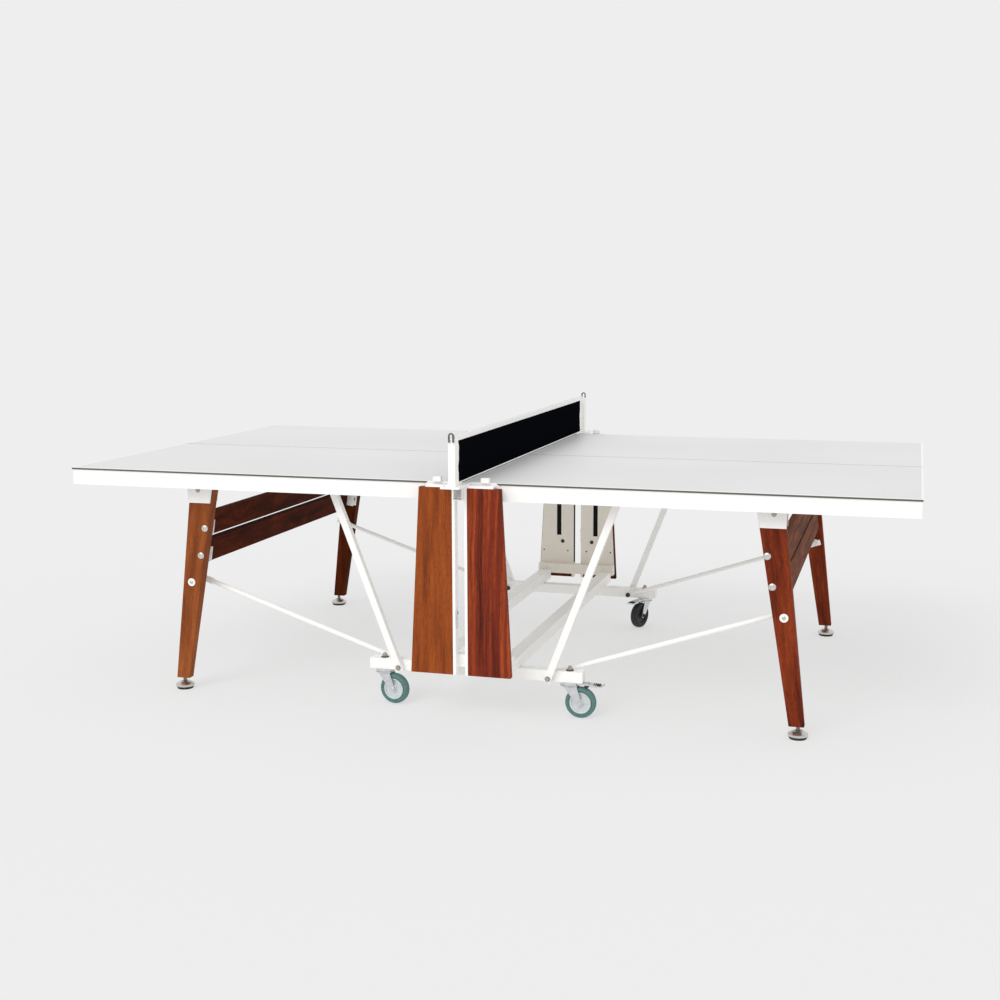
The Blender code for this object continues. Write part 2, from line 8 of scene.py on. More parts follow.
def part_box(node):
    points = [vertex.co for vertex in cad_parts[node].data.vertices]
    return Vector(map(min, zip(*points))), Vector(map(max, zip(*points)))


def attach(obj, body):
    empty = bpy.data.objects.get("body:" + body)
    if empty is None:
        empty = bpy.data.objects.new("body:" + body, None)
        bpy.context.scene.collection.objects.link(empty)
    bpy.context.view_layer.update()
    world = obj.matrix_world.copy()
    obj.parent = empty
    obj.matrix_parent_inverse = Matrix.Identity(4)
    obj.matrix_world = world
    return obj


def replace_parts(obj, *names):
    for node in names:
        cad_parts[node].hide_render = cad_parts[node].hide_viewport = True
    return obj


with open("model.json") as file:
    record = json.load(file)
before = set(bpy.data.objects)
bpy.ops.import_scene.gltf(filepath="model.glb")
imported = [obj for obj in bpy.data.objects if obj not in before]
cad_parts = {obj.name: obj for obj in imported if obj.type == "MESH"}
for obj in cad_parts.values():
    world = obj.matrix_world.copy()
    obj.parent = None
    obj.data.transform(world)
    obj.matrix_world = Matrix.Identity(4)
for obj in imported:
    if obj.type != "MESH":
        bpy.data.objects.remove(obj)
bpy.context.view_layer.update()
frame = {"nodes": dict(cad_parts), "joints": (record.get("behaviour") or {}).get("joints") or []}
nodes = frame["nodes"]
joints = {joint["name"]: joint for joint in frame["joints"]}
scene = bpy.context.scene
sides = {"left": -1, "right": 1}
ends = {"near": -1, "far": 1}
quarters = [(side, end) for side in sides for end in ends]
print("frame loaded:", len(nodes), "nodes")


# small helpers for materials

def linearColour(hexColour):
    channels = [int(hexColour[i:i + 2], 16) / 255 for i in (1, 3, 5)]
    return (*[c / 12.92 if c <= 0.04045 else ((c + 0.055) / 1.055) ** 2.4 for c in channels], 1)


def addNode(tree, kind, inputs=None, stops=None, **settings):
    node = tree.nodes.new("ShaderNode" + kind)
    for name, value in settings.items():
        setattr(node, name, value)
    for name, value in (inputs or {}).items():
        if isinstance(value, bpy.types.NodeSocket):
            tree.links.new(value, node.inputs[name])
        else:
            node.inputs[name].default_value = value
    for i, (place, colour) in enumerate(stops or []):
        spots = node.color_ramp.elements
        spot = spots[i] if i < 2 else spots.new(place)
        spot.position, spot.color = place, linearColour(colour)
    return node


def startMaterial(name, colour, roughness, metallic=0.0):
    material = bpy.data.materials.new(name)
    material.use_nodes = True
    shader = material.node_tree.nodes["Principled BSDF"]
    shader.inputs["Base Color"].default_value = linearColour(colour)
    shader.inputs["Roughness"].default_value = roughness
    shader.inputs["Metallic"].default_value = metallic
    return material, material.node_tree, shader


def linkShader(tree, shader, colour, rough, bump):
    tree.links.new(colour.outputs[0], shader.inputs["Base Color"])
    tree.links.new(rough.outputs[0], shader.inputs["Roughness"])
    tree.links.new(bump.outputs[0], shader.inputs["Normal"])


# A noise that shifts the colour between two shades, moves the roughness and lifts the surface a little
def mottle(material, low, high, grainMm, roughness, liftMm, stretch=(1, 1, 1)):
    tree = material.node_tree
    shader = tree.nodes["Principled BSDF"]
    place = addNode(tree, "TexCoord").outputs["Object"]
    scaled = addNode(tree, "Mapping", {"Vector": place, "Scale": stretch})
    noise = addNode(tree, "TexNoise", {"Vector": scaled.outputs[0], "Scale": 1000 / grainMm, "Detail": 3.0})
    shades = addNode(tree, "ValToRGB", {"Fac": noise.outputs[0]}, stops=[(0.3, low), (0.7, high)])
    rough = addNode(tree, "MapRange", {"Value": noise.outputs[0], "To Min": roughness[0],
                                       "To Max": roughness[1]})
    bump = addNode(tree, "Bump", {"Height": noise.outputs[0], "Distance": liftMm / 1000, "Strength": 1.0})
    linkShader(tree, shader, shades, rough, bump)


# finishes

# Polyester powder coat baked on steel: neutral white, satin, with a fine orange peel
powderCoat, _, _ = startMaterial("powderCoatWhite", "#FBFAF8", 0.42)
mottle(powderCoat, "#F9F8F5", "#FDFCFA", 2.5, (0.36, 0.46), 0.012)

# The far upright's folded sheet has the same coat, painted a slightly deeper beige as painted shade, since that
# upright stands in shadow
powderCoatPaintedShade, _, _ = startMaterial("powderCoatWhitePaintedShade", "#EFE8DC", 0.45)
mottle(powderCoatPaintedShade, "#E9E1D4", "#F3EDE2", 2.5, (0.40, 0.50), 0.012)

# Injection moulded polyamide: white caps with a faint grain
whiteNylon, _, _ = startMaterial("nylonWhite", "#F8F7F4", 0.5)
mottle(whiteNylon, "#F4F3F0", "#FBFAF8", 0.8, (0.45, 0.58), 0.01)

blackNylon, _, _ = startMaterial("nylonBlack", "#17171A", 0.5)
mottle(blackNylon, "#121214", "#232327", 0.8, (0.42, 0.60), 0.015)

# Bright zinc plate over pressed steel: grey metal with a blue cast and soft crystals
zincPlate, _, _ = startMaterial("zincPlated", "#D8DADB", 0.32, 1.0)
mottle(zincPlate, "#D0D3D4", "#E2E4E5", 14.0, (0.28, 0.36), 0.002)

# Pressed wheel discs, lacquered over the zinc: pale, even and only half metallic
hubZinc, _, _ = startMaterial("zincHub", "#D3DAD9", 0.38, 0.35)
mottle(hubZinc, "#CBD3D2", "#DBE1E0", 14.0, (0.34, 0.42), 0.004)

# Bolts with a yellow passivate over the zinc, which leaves them beige and dull
beigeZinc, _, _ = startMaterial("zincPassivated", "#B5AEA2", 0.42, 0.8)
mottle(beigeZinc, "#A29B8F", "#C4BDB1", 2.0, (0.36, 0.50), 0.008)

# Stainless bolts, turned and lightly tumbled
stainless, _, _ = startMaterial("stainlessBolt", "#D6D2CC", 0.28, 1.0)
mottle(stainless, "#CCC8C2", "#DEDBD6", 3.0, (0.24, 0.32), 0.003)

# Blackened steel of the screws, stop bolts and plank nuts: dull brown-black
blackSteel, _, _ = startMaterial("steelBlackened", "#3A3431", 0.5, 0.6)
mottle(blackSteel, "#2A2523", "#4C4642", 1.2, (0.40, 0.60), 0.01)

# Dark chrome of the net hooks: nearly black, with brighter patches
darkChrome, _, _ = startMaterial("chromeDark", "#4A4948", 0.18, 1.0)
mottle(darkChrome, "#2C2B2B", "#8A8886", 7.0, (0.12, 0.26), 0.004)

# Painted shade: a dull, nearly black sheet behind the slots and in the gap between the halves, standing for the
# shadow there
paintedShadeBlack, _, _ = startMaterial("paintedShadeBlack", "#0A0908", 0.95)
mottle(paintedShadeBlack, "#060505", "#12100F", 0.9, (0.90, 1.0), 0.05)

# Vulcanised rubber: grey on the near castors, black on the far ones
greyRubber, _, _ = startMaterial("rubberGrey", "#557A77", 0.62)
mottle(greyRubber, "#4A6F6C", "#5F8481", 6.0, (0.52, 0.70), 0.03)

blackRubber, _, _ = startMaterial("rubberBlack", "#1B1C1D", 0.6)
mottle(blackRubber, "#141516", "#262829", 6.0, (0.50, 0.68), 0.03)

# Woven polyester binding of the net
bindingTape, _, _ = startMaterial("tapeWhite", "#FBFAF8", 0.85)
mottle(bindingTape, "#F6F5F2", "#FEFDFC", 1.6, (0.80, 0.92), 0.08, (1, 0.35, 1))


# The foot's near-black bottom band is painted shade of the crevice under the bell's rim
foot = {"paintedRimShadeTopMm": 8.8, "bellTopMm": 24.5, "paintedRimShade": "#1C1C1C", "stem": "#7B7772",
        "chromeLow": "#BEB9B1", "chromeHigh": "#E6E3DE"}


# A levelling foot: a near-black band of painted shade up to paintedRimShadeZ, standing for the dark crevice at
# the bell's bottom rim, then chrome bell up to bellZ, plain steel stem above
def makeChrome(name, paintedRimShadeZ, bellZ):
    material, tree, shader = startMaterial(name, "#CFCBC5", 0.3, 1.0)
    place = addNode(tree, "TexCoord").outputs["Object"]
    height = addNode(tree, "SeparateXYZ", {"Vector": place}).outputs["Z"]
    paintedRimShade = addNode(tree, "Math", {0: height, 1: paintedRimShadeZ}, operation="LESS_THAN").outputs[0]
    stem = addNode(tree, "Math", {0: height, 1: bellZ}, operation="GREATER_THAN").outputs[0]
    noise = addNode(tree, "TexNoise", {"Vector": place, "Scale": 420.0, "Detail": 2.0})  # 2.4 mm tool marks
    shades = addNode(tree, "ValToRGB", {"Fac": noise.outputs[0]},
                     stops=[(0.3, foot["chromeLow"]), (0.7, foot["chromeHigh"])])
    steel = addNode(tree, "MixRGB", {"Fac": stem, "Color1": shades.outputs[0],
                                     "Color2": linearColour(foot["stem"])})
    colour = addNode(tree, "MixRGB", {"Fac": paintedRimShade, "Color1": steel.outputs[0],
                                      "Color2": linearColour(foot["paintedRimShade"])})
    metal = addNode(tree, "Math", {0: 1.0, 1: paintedRimShade}, operation="SUBTRACT")
    rough = addNode(tree, "MapRange", {"Value": paintedRimShade, "To Min": 0.3, "To Max": 0.7})
    tree.links.new(colour.outputs[0], shader.inputs["Base Color"])
    tree.links.new(metal.outputs[0], shader.inputs["Metallic"])
    tree.links.new(rough.outputs[0], shader.inputs["Roughness"])
    return material


# Oiled hardwood: broad bands, fine fibres along the board and short dark pores.
# turn takes the grain from upright to the way that the board runs, gloss is how much the oil shines.
timbers = {
    "teakOrange": {"dark": "#6E3012", "mid": "#964717", "light": "#A9561F", "bandMm": 26, "runMm": 300,
                   "swirlMm": 10, "fibre": 0.26, "seed": 1.3, "gloss": 0.18},
    "teakRed": {"dark": "#3E0E06", "mid": "#873016", "light": "#AE4E22", "bandMm": 13, "runMm": 700,
                "swirlMm": 7, "fibre": 0.40, "seed": 5.1, "gloss": 0.18},
    "teakLegOrange": {"dark": "#6E3616", "mid": "#904A20", "light": "#A65C2B", "bandMm": 22, "runMm": 260,
                      "swirlMm": 10, "fibre": 0.28, "seed": 2.2, "gloss": 0.16},
    "teakLegRed": {"dark": "#48160A", "mid": "#7E3014", "light": "#9C441E", "bandMm": 24, "runMm": 260,
                   "swirlMm": 10, "fibre": 0.34, "seed": 7.7, "gloss": 0.12},
    # far-left leg: the leg wood darkened as painted shade, for the shadow under the table
    "teakLegPaintedShade": {"dark": "#2A0D02", "mid": "#4E1E06", "light": "#68290A", "bandMm": 14, "runMm": 240,
                    "swirlMm": 18, "fibre": 0.30, "seed": 3.9, "gloss": 0.05},
    # far panels: the same board as the near ones, darkened as painted shade for the shadow they stand in
    "teakPanelPaintedShade": {"dark": "#2C1008", "mid": "#5A2512", "light": "#74361B", "bandMm": 14, "runMm": 420,
                      "swirlMm": 8, "fibre": 0.30, "seed": 8.8, "gloss": 0.08},
    "teakPlankDark": {"dark": "#280A01", "mid": "#481803", "light": "#622406", "bandMm": 12, "runMm": 420,
                      "swirlMm": 20, "fibre": 0.30, "seed": 4.6, "gloss": 0.04},
    "teakPlankStriped": {"dark": "#3A1A0B", "mid": "#743C1E", "light": "#94522C", "bandMm": 7, "runMm": 600,
                         "swirlMm": 6, "fibre": 0.36, "seed": 6.4, "gloss": 0.07},
}


def makeTimber(name, kind, turn):
    wood = timbers[kind]
    material, tree, shader = startMaterial(name, wood["mid"], 0.6)
    shader.inputs["Specular IOR Level"].default_value = wood["gloss"]
    place = addNode(tree, "TexCoord").outputs["Object"]
    board = addNode(tree, "Mapping", {"Vector": place, "Rotation": turn, "Location": (wood["seed"],) * 3})
    slow = addNode(tree, "TexNoise", {"Vector": board.outputs[0], "Scale": 3.5, "Detail": 1.0})
    centred = addNode(tree, "VectorMath", {0: slow.outputs["Color"], 1: (0.5, 0.5, 0.5)}, operation="SUBTRACT")
    reach = wood["swirlMm"] / 1000 * 4
    shift = addNode(tree, "VectorMath", {0: centred.outputs[0], 1: (reach, reach, 0)}, operation="MULTIPLY")
    flow = addNode(tree, "VectorMath", {0: board.outputs[0], 1: shift.outputs[0]}, operation="ADD").outputs[0]
    across, along = 1000 / wood["bandMm"], 1000 / wood["runMm"]
    bandPlace = addNode(tree, "Mapping", {"Vector": flow, "Scale": (across, across * 0.3, along)})
    bands = addNode(tree, "TexNoise", {"Vector": bandPlace.outputs[0], "Scale": 1.0, "Detail": 5.0,
                                       "Roughness": 0.6})
    shades = addNode(tree, "ValToRGB", {"Fac": bands.outputs[0]},
                     stops=[(0.28, wood["dark"]), (0.72, wood["light"]), (0.50, wood["mid"])])
    # fibres 1.6 mm wide and 45 mm long, drawn coarser than real ones so that they show
    fibrePlace = addNode(tree, "Mapping", {"Vector": flow, "Scale": (620, 620, 22)})
    fibres = addNode(tree, "TexNoise", {"Vector": fibrePlace.outputs[0], "Scale": 1.0, "Detail": 3.0})
    fibreTone = addNode(tree, "MapRange", {"Value": fibres.outputs[0], "From Min": 0.3, "From Max": 0.7,
                                           "To Min": 1 - wood["fibre"], "To Max": 1 + wood["fibre"] * 0.4})
    porePlace = addNode(tree, "Mapping", {"Vector": flow, "Scale": (900, 900, 110)})  # pores 9 mm long
    pores = addNode(tree, "TexNoise", {"Vector": porePlace.outputs[0], "Scale": 1.0, "Detail": 1.0})
    poreTone = addNode(tree, "MapRange", {"Value": pores.outputs[0], "From Min": 0.30, "From Max": 0.40,
                                          "To Min": 0.55, "To Max": 1.0})
    tone = addNode(tree, "Math", {0: fibreTone.outputs[0], 1: poreTone.outputs[0]}, operation="MULTIPLY")
    colour = addNode(tree, "VectorMath", {0: shades.outputs[0], "Scale": tone.outputs[0]}, operation="SCALE")
    rough = addNode(tree, "MapRange", {"Value": fibres.outputs[0], "To Min": 0.78, "To Max": 0.58})
    bump = addNode(tree, "Bump", {"Height": tone.outputs[0], "Distance": 0.00025, "Strength": 0.8})
    linkShader(tree, shader, colour, rough, bump)
    return material


# Compact laminate of the playing top: grey matt face, light edge line, grey centre line, dark core
topMarks = {
    "faceLow": "#DBDBDB", "faceHigh": "#E0E0E0", "border": "#F6F6F4", "centre": "#6E6E6E", "core": "#5A5550",
    "borderMm": 5.5, "seamMm": 4, "centreMm": 6.5, "lightMm": 3, "coreLowMm": 1.0, "coreHighMm": 6.8,
    "faceDepthMm": 0.5,
}


def makeLaminate(name, low, high):
    material, tree, shader = startMaterial(name, topMarks["faceHigh"], 0.4)
    place = addNode(tree, "TexCoord").outputs["Object"]
    axes = addNode(tree, "SeparateXYZ", {"Vector": place})
    x = addNode(tree, "Math", {0: axes.outputs["X"]}, operation="ABSOLUTE").outputs[0]
    y = addNode(tree, "Math", {0: axes.outputs["Y"]}, operation="ABSOLUTE").outputs[0]
    longEdge = max(abs(low.x), abs(high.x)) - topMarks["borderMm"] / 1000
    seam = min(abs(low.x), abs(high.x)) + topMarks["seamMm"] / 1000
    marks = [(x, "GREATER_THAN", longEdge), (x, "LESS_THAN", seam),
             (y, "GREATER_THAN", high.y - topMarks["borderMm"] / 1000)]
    border = None
    for value, test, limit in marks:
        inside = addNode(tree, "Math", {0: value, 1: limit}, operation=test).outputs[0]
        border = inside if border is None else addNode(
            tree, "Math", {0: border, 1: inside}, operation="MAXIMUM").outputs[0]
    halfLine = topMarks["centreMm"] / 2000
    centre = addNode(tree, "Math", {0: y, 1: halfLine}, operation="LESS_THAN").outputs[0]
    # 4 mm texture that the press plate leaves
    grain = addNode(tree, "TexNoise", {"Vector": place, "Scale": 260.0, "Detail": 4.0})
    cloud = addNode(tree, "TexNoise", {"Vector": place, "Scale": 1.6, "Detail": 1.0})
    face = addNode(tree, "ValToRGB", {"Fac": cloud.outputs[0]}, stops=[
        (0.3, topMarks["faceLow"]), (0.7, topMarks["faceHigh"])])
    bordered = addNode(tree, "MixRGB", {"Fac": border, "Color1": face.outputs[0],
                                        "Color2": linearColour(topMarks["border"])})
    past = addNode(tree, "Math", {0: axes.outputs["Y"], 1: halfLine}, operation="GREATER_THAN").outputs[0]
    before = addNode(tree, "Math", {0: axes.outputs["Y"], 1: halfLine + topMarks["lightMm"] / 1000},
                     operation="LESS_THAN").outputs[0]
    beside = addNode(tree, "Math", {0: past, 1: before}, operation="MULTIPLY").outputs[0]
    lit = addNode(tree, "MixRGB", {"Fac": beside, "Color1": bordered.outputs[0],
                                   "Color2": linearColour(topMarks["border"])})
    lined = addNode(tree, "MixRGB", {"Fac": centre, "Color1": lit.outputs[0],
                                     "Color2": linearColour(topMarks["centre"])})
    coreLow = addNode(tree, "Math", {0: axes.outputs["Z"], 1: low.z + topMarks["coreLowMm"] / 1000},
                      operation="GREATER_THAN")
    coreHigh = addNode(tree, "Math", {0: axes.outputs["Z"], 1: low.z + topMarks["coreHighMm"] / 1000},
                       operation="LESS_THAN")
    core = addNode(tree, "Math", {0: coreLow.outputs[0], 1: coreHigh.outputs[0]}, operation="MULTIPLY")
    edge = addNode(tree, "Math", {0: axes.outputs["Z"], 1: high.z - topMarks["faceDepthMm"] / 1000},
                   operation="LESS_THAN")
    banded = addNode(tree, "MixRGB", {"Fac": edge.outputs[0], "Color1": lined.outputs[0],
                                      "Color2": linearColour(topMarks["border"])})
    colour = addNode(tree, "MixRGB", {"Fac": core.outputs[0], "Color1": banded.outputs[0],
                                      "Color2": linearColour(topMarks["core"])})
    rough = addNode(tree, "MapRange", {"Value": grain.outputs[0], "To Min": 0.34, "To Max": 0.5})
    bump = addNode(tree, "Bump", {"Height": grain.outputs[0], "Distance": 0.00002, "Strength": 1.0})
    linkShader(tree, shader, colour, rough, bump)
    return material


# Woven net: 4 mm meshes, drawn coarse enough to show, that read as near black
def makeNetCloth(name, meshMm):
    material, tree, shader = startMaterial(name, "#0B0C10", 0.95)
    place = addNode(tree, "TexCoord").outputs["Object"]
    axes = addNode(tree, "SeparateXYZ", {"Vector": place})
    threads = None
    for axis in ("Y", "Z"):
        wave = addNode(tree, "Math", {0: axes.outputs[axis], 1: 2 * math.pi * 1000 / meshMm},
                       operation="MULTIPLY")
        ridge = addNode(tree, "Math", {0: wave.outputs[0]}, operation="COSINE").outputs[0]
        threads = ridge if threads is None else addNode(
            tree, "Math", {0: threads, 1: ridge}, operation="MAXIMUM").outputs[0]
    fuzz = addNode(tree, "TexNoise", {"Vector": place, "Scale": 300.0, "Detail": 2.0})
    height = addNode(tree, "Math", {0: threads, 1: fuzz.outputs[0]}, operation="MULTIPLY")
    shades = addNode(tree, "ValToRGB", {"Fac": height.outputs[0]}, stops=[(0.0, "#08090C"), (0.7, "#101116")])
    bump = addNode(tree, "Bump", {"Height": height.outputs[0], "Distance": 0.0006, "Strength": 1.0})
    shader.inputs["Specular IOR Level"].default_value = 0.0
    tree.links.new(shades.outputs[0], shader.inputs["Base Color"])
    tree.links.new(bump.outputs[0], shader.inputs["Normal"])
    return material


netCloth = makeNetCloth("netBlack", 4.0)
print("finishes ready:", len(bpy.data.materials))


# dressing the CAD nodes

def dress(name, material):
    nodes[name].data.materials.clear()
    nodes[name].data.materials.append(material)


def softenEdges(name, widthMm):
    weld = nodes[name].modifiers.new("weld", "WELD")
    weld.merge_threshold = 0.00001
    bevel = nodes[name].modifiers.new("edges", "BEVEL")
    bevel.width = widthMm / 1000
    bevel.segments = 2
    bevel.limit_method = "ANGLE"
    bevel.angle_limit = math.radians(30)


legLean = math.radians(8)
boardEdgeMm = 1.5  # edges of the boards are eased by hand
upright = (0, 0, 0)
lyingAlongY = (math.radians(90), 0, 0)
for side, sign in sides.items():
    leaning = (0, sign * legLean, 0)
    boards = {
        f"wood_panel_{side}_near": ("teakOrange" if side == "left" else "teakRed", upright),
        # the far panels take a darker copy of the wood as painted shade
        f"wood_panel_{side}_far": ("teakPanelPaintedShade", upright),
        f"leg_{side}_near": ("teakLegOrange" if side == "left" else "teakLegRed", leaning),
        # the far-left leg takes a darker copy of its wood as painted shade
        f"leg_{side}_far": ("teakLegPaintedShade" if side == "left" else "teakLegRed", leaning),
    }
    plankWood = "teakPlankDark" if side == "left" else "teakPlankStriped"
    for level in ("upper", "lower"):
        boards[f"plank_{level}_{side}"] = (plankWood, lyingAlongY)
    for board, (kind, turn) in boards.items():
        dress(board, makeTimber(board + "_oiled", kind, turn))
        softenEdges(board, boardEdgeMm)
    dress(f"top_{side}", makeLaminate(f"laminate_{side}", *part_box(f"top_{side}")))
    for part in (f"apron_{side}", f"rail_{side}"):
        dress(part, powderCoat)
    dress(f"slot_shaft_{side}", zincPlate)
for end in ends:
    # the far upright gets the painted-shade copy of the white coat
    dress(f"upright_{end}", powderCoatPaintedShade if end == "far" else powderCoat)
    for part in (f"cross_beam_{end}", f"net_base_{end}", f"net_post_{end}"):
        dress(part, powderCoat)
    dress(f"net_hook_{end}", darkChrome)
    dress(f"lock_lever_{end}", zincPlate)
for side, end in quarters:
    for part in ("leg_bracket", "strut", "brace_rod"):
        dress(f"{part}_{side}_{end}", powderCoat)
    dress(f"castor_fork_{side}_{end}", zincPlate)
    low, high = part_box(f"levelling_foot_{side}_{end}")
    paintedRimShadeZ, bellZ = low.z + foot["paintedRimShadeTopMm"] / 1000, low.z + foot["bellTopMm"] / 1000
    dress(f"levelling_foot_{side}_{end}", makeChrome(f"chromeFoot_{side}_{end}", paintedRimShadeZ, bellZ))
for end in ends:
    dress(f"brake_pedal_right_{end}", zincPlate)
print("CAD nodes dressed")


# modelling helpers

def startShape(name):
    shape = bpy.context.object
    shape.name = name
    bpy.ops.object.transform_apply(location=True, rotation=True, scale=True)
    bpy.ops.object.mode_set(mode="EDIT")
    return shape


def endShape(shape):
    bpy.ops.mesh.select_all(action="SELECT")
    bpy.ops.mesh.remove_doubles(threshold=0.000001)
    bpy.ops.mesh.normals_make_consistent(inside=False)
    bpy.ops.object.mode_set(mode="OBJECT")
    bpy.ops.object.shade_smooth_by_angle(angle=math.radians(35))
    return shape


# Extrudes the selection through each (radius, height) and scales it to the new radius
def climb(steps):
    for (lastRadius, lastHeight), (radius, height) in zip(steps, steps[1:]):
        bpy.ops.mesh.extrude_region_move(TRANSFORM_OT_translate={"value": (0, 0, height - lastHeight)})
        share = radius / lastRadius
        bpy.ops.transform.resize(value=(share, share, 1), center_override=(0, 0, height))


# A solid that stands on Z, climbed from a disc
def turnedShape(name, steps, around):
    bpy.ops.object.select_all(action="DESELECT")
    bpy.ops.mesh.primitive_circle_add(vertices=around, radius=steps[0][0], fill_type="NGON",
                                      location=(0, 0, steps[0][1]))
    shape = startShape(name)
    bpy.ops.mesh.select_all(action="SELECT")
    climb(steps)
    return endShape(shape)


# A ring made the same way from an open circle, and closed by bridging its two rims
def ringShape(name, steps, around):
    bpy.ops.object.select_all(action="DESELECT")
    bpy.ops.mesh.primitive_circle_add(vertices=around, radius=steps[0][0], fill_type="NOTHING",
                                      location=(0, 0, steps[0][1]))
    shape = startShape(name)
    bpy.ops.mesh.select_mode(type="EDGE")
    bpy.ops.mesh.select_all(action="SELECT")
    climb(steps)
    bpy.ops.mesh.select_all(action="DESELECT")
    bpy.ops.mesh.select_non_manifold()
    bpy.ops.mesh.bridge_edge_loops()
    return endShape(shape)


# A block between two corners with its edges rounded
def blockShape(name, low, high, edgeMm, segments=2):
    bpy.ops.object.select_all(action="DESELECT")
    low, high = Vector(low), Vector(high)
    bpy.ops.mesh.primitive_cube_add(size=1, location=(low + high) / 2)
    bpy.context.object.scale = high - low
    shape = startShape(name)
    bpy.ops.mesh.select_all(action="SELECT")
    bpy.ops.mesh.bevel(offset=edgeMm / 1000, segments=segments, affect="EDGES")
    return endShape(shape)


def placeCopy(shape, name, matrix, body, material):
    copy = shape.copy()
    copy.data = shape.data.copy()
    copy.name = copy.data.name = name
    copy.data.transform(matrix)
    if matrix.determinant() < 0:
        copy.data.flip_normals()
    copy.data.materials.clear()
    copy.data.materials.append(material)
    scene.collection.objects.link(copy)
    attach(copy, body)
    return copy


def facing(spot, direction):
    return Matrix.Translation(spot) @ Vector(direction).to_track_quat("Z", "Y").to_matrix().to_4x4()


def mirror(side, end):
    return Matrix.Diagonal((sides[side], ends[end], 1, 1))


# net: a stretched sheet inside its white binding
net = {"tapeTopMm": 18, "tapeBottomMm": 3, "tapeSideMm": 34, "rippleMm": 0.7, "waveMm": 3.4, "clothMm": 1.0,
       "bandCuts": 14}
netLow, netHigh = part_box("net")
netWidth, netHeight = netHigh.y - netLow.y, netHigh.z - netLow.z

bpy.ops.object.select_all(action="DESELECT")
bpy.ops.mesh.primitive_grid_add(x_subdivisions=180, y_subdivisions=16, size=1)
cloth = bpy.context.object
cloth.name = "netCloth"
for vertex in cloth.data.vertices:  # the sheet sags and ripples a little between its bindings
    across, up = vertex.co.x + 0.5, vertex.co.y + 0.5
    slack = math.sin(math.pi * across) * math.sin(math.pi * up)
    ripple = math.sin(across * 41) * 0.6 + math.sin(across * 97 + up * 3) * 0.4
    vertex.co = (slack * ripple * net["rippleMm"] / 1000,
                 netLow.y + across * netWidth, netLow.z + up * netHeight)
thick = cloth.modifiers.new("thickness", "SOLIDIFY")
thick.thickness = net["clothMm"] / 1000
thick.offset = 0
bpy.ops.object.modifier_apply(modifier="thickness")
bpy.ops.object.shade_smooth_by_angle(angle=math.radians(60))
cloth.data.materials.append(netCloth)
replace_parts(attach(cloth, "carriage"), "net")

halfTape = (netHigh.x - netLow.x) / 2
topTape = blockShape("netTapeTop", (-halfTape, netLow.y, netHigh.z - net["tapeTopMm"] / 1000),
                     (halfTape, netHigh.y, netHigh.z), 0.9)
bottomTape = blockShape("netTapeBottom", (-halfTape, netLow.y, netLow.z - 0.0004),
                        (halfTape, netHigh.y, netLow.z + net["tapeBottomMm"] / 1000), 0.8)
bindings = [topTape, bottomTape]
for end, sign in ends.items():
    outer = netHigh.y
    inner = outer - net["tapeSideMm"] / 1000
    band = blockShape(f"netTapeSide_{end}", (-halfTape + 0.0002, inner, netLow.z + 0.0002),
                      (halfTape - 0.0002, outer, netHigh.z - 0.0004), 0.6)
    bpy.ops.object.mode_set(mode="EDIT")
    for step in range(1, net["bandCuts"]):  # cuts up the band, so that its inner edge can wander
        level = netLow.z + netHeight * step / net["bandCuts"]
        bpy.ops.mesh.select_all(action="SELECT")
        bpy.ops.mesh.bisect(plane_co=(0, 0, level), plane_no=(0, 0, 1))
    bpy.ops.object.mode_set(mode="OBJECT")
    for vertex in band.data.vertices:
        if vertex.co.y < inner + 0.002:
            height = (vertex.co.z - netLow.z) / netHeight
            vertex.co.y += net["waveMm"] / 1000 * (math.sin(height * 9 + sign) + 0.5 * math.sin(height * 23))
        vertex.co.y *= sign
    if sign < 0:
        band.data.flip_normals()
    bindings.append(band)
for band in bindings:
    band.data.materials.append(bindingTape)
    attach(band, "carriage")
print("net ready")


# fasteners
bolts = {
    "domeRadius": 0.0118, "domeHeight": 0.0045,
    "capRadius": 0.0135, "capHeight": 0.0035,
    "hingeRadius": 0.0062, "hingeHeight": 0.0036,
    "hexRadius": 0.0095, "hexHeight": 0.0060,
    "screwRadius": 0.0032, "screwHeight": 0.0014,
    "smallShare": 0.70, "smallHeightShare": 0.85,
    "rodHalf": 0.0034,  # half the flattened rod end, which a sleeve and a nut hold
    "strutStandOff": 0.0070,  # from the strut's side to the head or nut of its bolt
    "legTaper": 0.0086,  # how far outwards the leg's inner face has moved where the rod meets it
    "plankBolts": {"upper": (0.9285, 0.5597), "lower": (0.9460, 0.4670)},
    "plankSlant": 0.0056,  # how far the plank's tilt moves its inner face at mid height
    "angleThick": 0.003, "angleReach": 0.026, "angleHalf": 0.024,
}

r, h = bolts["domeRadius"], bolts["domeHeight"]
domedBolt = turnedShape("domedBolt", [
    (r * 0.98, 0), (r, 0.0010), (r * 0.95, h * 0.42), (r * 0.80, h * 0.72), (r * 0.55, h * 0.94), (r * 0.34, h),
    (r * 0.32, h * 0.98), (r * 0.30, h * 0.45), (r * 0.05, h * 0.40)], 28)
r, h = bolts["capRadius"], bolts["capHeight"]
rodCap = turnedShape("rodCap", [
    (r * 0.98, 0), (r, 0.0008), (r, h * 0.65), (r * 0.93, h), (r * 0.50, h), (r * 0.47, h * 0.55),
    (r * 0.05, h * 0.5)], 28)
capBolt = turnedShape("capBolt", [
    (r * 0.45, h * 0.5), (r * 0.45, h * 0.95), (r * 0.38, h * 1.12), (r * 0.24, h * 1.12), (r * 0.22, h * 0.7),
    (r * 0.04, h * 0.68)], 6)
r, h = bolts["hingeRadius"], bolts["hingeHeight"]
